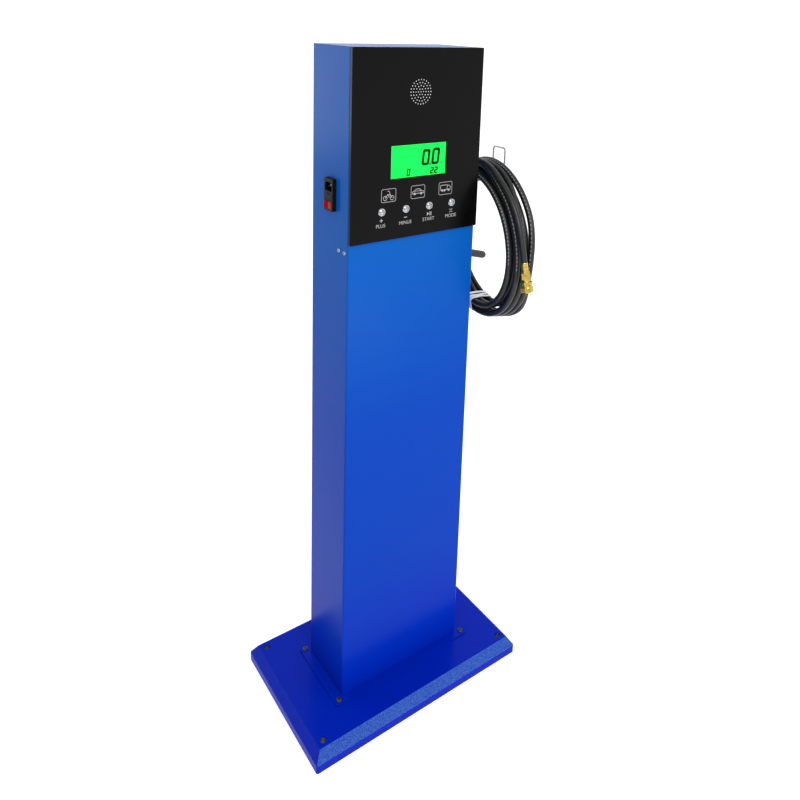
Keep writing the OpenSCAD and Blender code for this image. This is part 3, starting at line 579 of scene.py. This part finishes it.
def add_panel_print():
    """Framed pictograms for cycle, car and truck, and a mark for each key."""
    shape = Print()
    for x in (CYCLE_X, CAR_X, TRUCK_X):
        shape.ribbon(round_frame(x, FRAME_Z, 31, 24, 3), 0.9, LIFT, closed=True)
    draw_cycle(shape, CYCLE_X)
    draw_car(shape)
    draw_truck(shape, TRUCK_X)
    draw_key_marks(shape)
    shape.build("panel_marks", grey_print)


def add_word(text, x, z, height, mat):
    data = bpy.data.curves.new(f"word_{text.lower()}", "FONT")
    data.body = text
    data.size = height * MM
    data.align_x = "CENTER"
    data.align_y = "CENTER"
    data.extrude = 0.1 * MM
    data.materials.append(mat)
    obj = add_object(f"word_{text.lower()}", data)
    obj.location = (x * MM, FASCIA_Y, z * MM)
    obj.rotation_euler = (math.pi / 2, 0, 0)


DIGIT_SEGMENTS = {"0": "abcdef", "2": "abged"}
DIGIT_LEAN = 0.1
# The ends of each segment, as shares of the digit's width and height
SEGMENT_ENDS = {
    "a": ((0, 1), (1, 1)), "b": ((1, 1), (1, 0.5)), "c": ((1, 0.5), (1, 0)), "d": ((0, 0), (1, 0)),
    "e": ((0, 0.5), (0, 0)), "f": ((0, 1), (0, 0.5)), "g": ((0, 0.5), (1, 0.5)),
}


def add_digit(shape, digit, x, z, w, h, t):
    """A seven-segment digit with its lower left corner at x, z; it leans a little to the right."""
    def place(u, v):
        return (x + u * w + DIGIT_LEAN * v * h, z + v * h)

    for name in DIGIT_SEGMENTS[digit]:
        start, end = (Vector(place(*p)) for p in SEGMENT_ENDS[name])
        along = (end - start).normalized()
        side = Vector((-along.y, along.x)) * t / 2
        a, b = start - along * t * 0.3, end + along * t * 0.3
        tip = along * t / 2
        shape.prism([a, a + tip - side, b - tip - side, b, b - tip + side, a + tip + side], LIFT)


def add_display():
    """The lit window's figures: pressure at the right, set value and a small counter below."""
    shape = Print()
    add_digit(shape, "0", 8.4, 1121.4, 12.6, 25.6, 5.6)
    add_digit(shape, "0", 30.8, 1121.6, 12.6, 26.4, 5.6)
    shape.prism(circle(26.0, 1120.4, 2.0, 12), LIFT)
    add_digit(shape, "2", 27.4, 1103, 5.6, 10, 3.0)
    add_digit(shape, "2", 36.6, 1103, 5.6, 10, 3.0)
    add_digit(shape, "0", -26, 1103, 5.4, 11.4, 2.8)
    shape.build("display_figures", segment_black)
    add_word("bar", 53.6, 1122, 7.5, segment_grey)
    add_word("AUTO", -33.1, 1155.5, 6.0, segment_grey)
    add_word("TYRE", 40, 1155.5, 6.0, segment_grey)


def add_speaker_cloth():
    """A pale metal gauze close behind the speaker's holes."""
    shape = Print()
    shape.prism(circle(0, 1256, 24, 40), -0.35)
    shape.build("speaker_gauze", gauze)


add_hose_stripe()
add_speaker_cloth()
add_panel_print()
add_display()
for text, x in (("PLUS", -81), ("MINUS", -26.8), ("START", 26.3), ("MODE", 79.5)):
    add_word(text, x, 1014.3, 9.5, grey_print)


# ---------- straps round the coil --------------------------------

TIE_ANGLES = (293, 297, 301)
BUNDLE_X = 0.1995
TIE_HALF = 2.5 * MM
TIE_THICK = 1.0 * MM
TIE_WAVE = 1.2 * MM
TIE_RADIUS = 7.0 * MM
NEARBY = 0.06


def convex_hull(points):
    """The points on the outside of a flat cloud, in order."""
    points = sorted(set(points))

    def cross(o, a, b):
        return (a[0] - o[0]) * (b[1] - o[1]) - (a[1] - o[1]) * (b[0] - o[0])

    def half(ordered):
        chain = []
        for p in ordered:
            while len(chain) > 1 and cross(chain[-2], chain[-1], p) <= 0:
                chain.pop()
            chain.append(p)
        return chain[:-1]

    return half(points) + half(points[::-1])


def bundle_outline(centre, along, outward):
    """The tight outline round every strand that crosses the plane through centre."""
    strands = []
    for p, q in zip(hose_line, hose_line[1:]):
        near, far = (p - centre).dot(along), (q - centre).dot(along)
        if near * far <= 0 and near != far and (p - centre).length < NEARBY:
            hit = p + (q - p) * (near / (near - far)) - centre
            strands.append((hit.x, hit.dot(outward)))
    angles = [math.tau * k / 24 for k in range(24)]
    return convex_hull([
        (x + TIE_RADIUS * math.cos(a), y + TIE_RADIUS * math.sin(a)) for x, y in strands for a in angles
    ])


def add_tie_band(number, degrees):
    """One thin strap loop, slightly wavy, with a rectangular section."""
    centre = on_coil(BUNDLE_X, 0.0, degrees)
    along = (on_coil(BUNDLE_X, 0.0, degrees + 1) - centre).normalized()
    outward = along.cross(Vector((1, 0, 0)))
    outline = bundle_outline(centre, along, outward)
    section = ((0.0, -TIE_HALF), (0.0, TIE_HALF), (TIE_THICK, TIE_HALF), (TIE_THICK, -TIE_HALF))
    verts, faces = [], []
    for x, y in outline:
        wave = TIE_WAVE * math.sin(9 * math.atan2(y, x) + 2 * number)
        for grow, shift in section:
            scale = 1 + grow / max(math.hypot(x, y), 0.01)
            verts.append(centre + Vector((x * scale, 0, 0)) + outward * y * scale + along * (shift + wave))
    for k in range(len(outline)):
        m = (k + 1) % len(outline)
        for c in range(4):
            d = (c + 1) % 4
            faces.append([4 * k + c, 4 * k + d, 4 * m + d, 4 * m + c])
    return mesh_object(f"tie_band_{number + 1}", verts, faces, strap_plastic)


def add_tie():
    """Three strap loops wrapped tight round the bundle near its lowest point."""
    bands = [add_tie_band(number, degrees) for number, degrees in enumerate(TIE_ANGLES)]
    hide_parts("tie_wrap")
    return bands


add_tie()


# ---------- floor and light ----------

def add_floor():
    half, z = 60.0, -0.5 * MM
    verts = [(-half, -half, z), (half, -half, z), (half, half, z), (-half, half, z)]
    mesh = bpy.data.meshes.new("floor")
    mesh.from_pydata(verts, [], [(0, 1, 2, 3)])
    mesh.materials.append(material(
        "pale_floor", (0.8, 0.8, 0.8), 0.9, Specular_IOR_Level=0.1,
        Emission_Color=(1, 1, 1, 1), Emission_Strength=0.48,
    ))
    floor = bpy.data.objects.new("floor", mesh)
    scene.collection.objects.link(floor)


def add_dark_card():
    """A black card to the left, outside the picture, that keeps the side face deeper than the front."""
    x, y0, y1, z0, z1 = -1.9, -0.6, 2.6, 0.25, 2.3
    mesh = bpy.data.meshes.new("dark_card")
    mesh.from_pydata([(x, y0, z0), (x, y1, z0), (x, y1, z1), (x, y0, z1)], [], [(0, 1, 2, 3)])
    mesh.materials.append(material("dark_card", (0.01, 0.01, 0.01), 0.9))
    card = bpy.data.objects.new("dark_card", mesh)
    card.visible_camera = False
    scene.collection.objects.link(card)


def add_light(name, place, target, size, power):
    data = bpy.data.lights.new(name, "AREA")
    data.shape = "RECTANGLE"
    data.size, data.size_y = size
    data.energy = power
    light = bpy.data.objects.new(name, data)
    light.location = place
    light.rotation_euler = (Vector(target) - Vector(place)).to_track_quat("-Z", "Y").to_euler()
    light.visible_camera = False
    scene.collection.objects.link(light)


def add_world():
    world = bpy.data.worlds.new("studio")
    world.use_nodes = True
    world.node_tree.nodes["Background"].inputs["Color"].default_value = (1, 1, 1, 1)
    world.node_tree.nodes["Background"].inputs["Strength"].default_value = 1.05
    scene.world = world


add_floor()
add_dark_card()
add_world()
add_light("key_softbox", (-0.6, -2.2, 2.4), (0, 0, 0.9), (1.2, 1.2), 30)
add_light("side_softbox", (-1.1, 1.75, 1.25), (-0.14, 0, 1.15), (0.8, 0.9), 6)
add_light("low_softbox", (0.3, -1.2, 0.29), (0, -0.15, 0.02), (0.62, 0.22), 1.6)
scene.view_settings.view_transform = "Standard"
